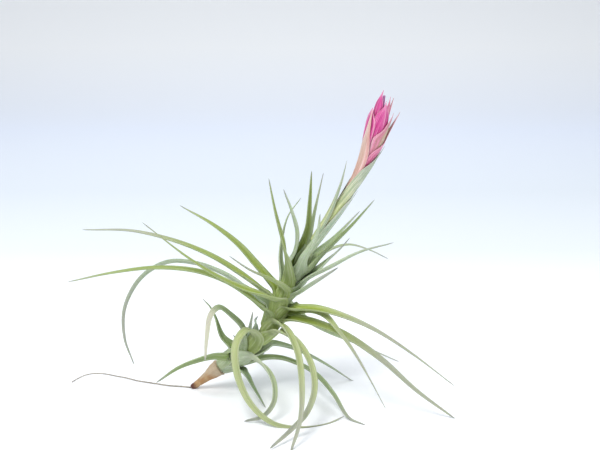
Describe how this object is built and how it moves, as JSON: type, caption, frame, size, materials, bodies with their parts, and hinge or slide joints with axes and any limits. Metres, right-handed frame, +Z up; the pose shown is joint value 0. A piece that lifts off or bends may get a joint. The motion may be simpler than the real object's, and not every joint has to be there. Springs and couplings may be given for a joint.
{
  "type": "tillandsia aeranthos",
  "caption": "Air plant in bud, lying as it grew: a leaning stem clasped by slender channelled leaves that arch, loop and trail, and a pointed spike of green, salmon and magenta bracts.",
  "frame": {"origin": "the small flat under the old cut end of the stem, on the surface that the plant lies on", "axes": "+Z up; +X the way the stem leans; -Y the side that its best leaves turn to"},
  "size_m": [0.1985, 0.1366, 0.1581],
  "materials": {
    "leaf_young": "bright yellow-green skin, satin, fine lengthwise lines",
    "leaf_mature": "sage green skin with fine silvery scales, matt",
    "leaf_silver": "silver-grey green skin thick with fine scales, matt",
    "bract_green": "thin green bract, matt, fine lengthwise lines",
    "bract_pale": "thin salmon to beige bract, matt, fine lengthwise lines",
    "bract_rose": "thin rose-pink bract, satin, fine lengthwise lines",
    "bract_magenta": "thin magenta bract, satin, fine lengthwise lines",
    "petal": "violet petals rolled shut, satin",
    "stem_core": "pale green fibrous stem, matt",
    "stem_wood": "old orange-brown stem with dried leaf bases, matt",
    "root_thread": "thin dry wiry root, matt"
  },
  "bodies": {
    "root": {"leaf_01_low_left": "leaf_mature", "leaf_02_low_front": "leaf_silver", "leaf_03_back_left": "leaf_mature", "leaf_04_short_back": "leaf_silver", "leaf_05_front_hook": "leaf_silver", "leaf_06_small_back": "leaf_silver", "leaf_07_low_right": "leaf_mature", "leaf_08_back_upright": "leaf_silver", "leaf_09_folded": "leaf_silver", "leaf_10_right_rest": "leaf_silver", "leaf_11_front_loop": "leaf_young", "leaf_12_back_short": "leaf_silver", "leaf_13_front_arch": "leaf_young", "leaf_14_front_drop": "leaf_young", "leaf_15_left_sweep": "leaf_young", "leaf_16_right_long": "leaf_young", "leaf_17_left_droop": "leaf_silver", "leaf_18_back_rest": "leaf_mature", "leaf_19_right_dip": "leaf_young", "leaf_20_left_cross": "leaf_young", "leaf_21_right_arch": "leaf_young", "leaf_22_left_reach": "leaf_young", "leaf_23_left_rise": "leaf_young", "leaf_24_right_back": "leaf_silver", "leaf_25_back_level": "leaf_mature", "leaf_26_left_short": "leaf_young", "leaf_27_right_short": "leaf_silver", "leaf_28_right_spread": "leaf_silver", "leaf_29_back_curl": "leaf_silver", "leaf_30_front_tall": "leaf_young", "leaf_31_right_behind": "leaf_silver", "leaf_32_right_low": "leaf_silver", "leaf_33_top_left": "leaf_silver", "leaf_34_front_silver": "leaf_silver", "leaf_35_back_right": "leaf_silver", "leaf_36_right_tall": "leaf_mature", "leaf_37_right_tip": "leaf_mature", "leaf_38_top_green": "leaf_young", "leaf_39_top_thin": "leaf_silver", "bract_01_right_silver": "leaf_silver", "bract_02_left_leafy": "bract_green", "bract_03_back": "bract_green", "bract_04_right_green": "bract_green", "bract_05_back_left": "bract_green", "bract_06_front_salmon": "bract_pale", "bract_07_right_edge": "bract_green", "bract_08_front_rose": "bract_rose", "bract_09_back_awn": "bract_pale", "bract_10_right_beige": "bract_pale", "bract_11_back_pink": "bract_magenta", "bract_12_left_magenta": "bract_magenta", "bract_13_front_magenta": "bract_magenta", "bract_14_back_grey": "bract_pale", "bract_15_right_pink": "bract_rose", "bract_16_top_magenta": "bract_magenta", "stem": "stem_core", "stem_base": "stem_wood", "petal_bud": "petal", "wiry_root": "root_thread"}
  },
  "joints": []
}
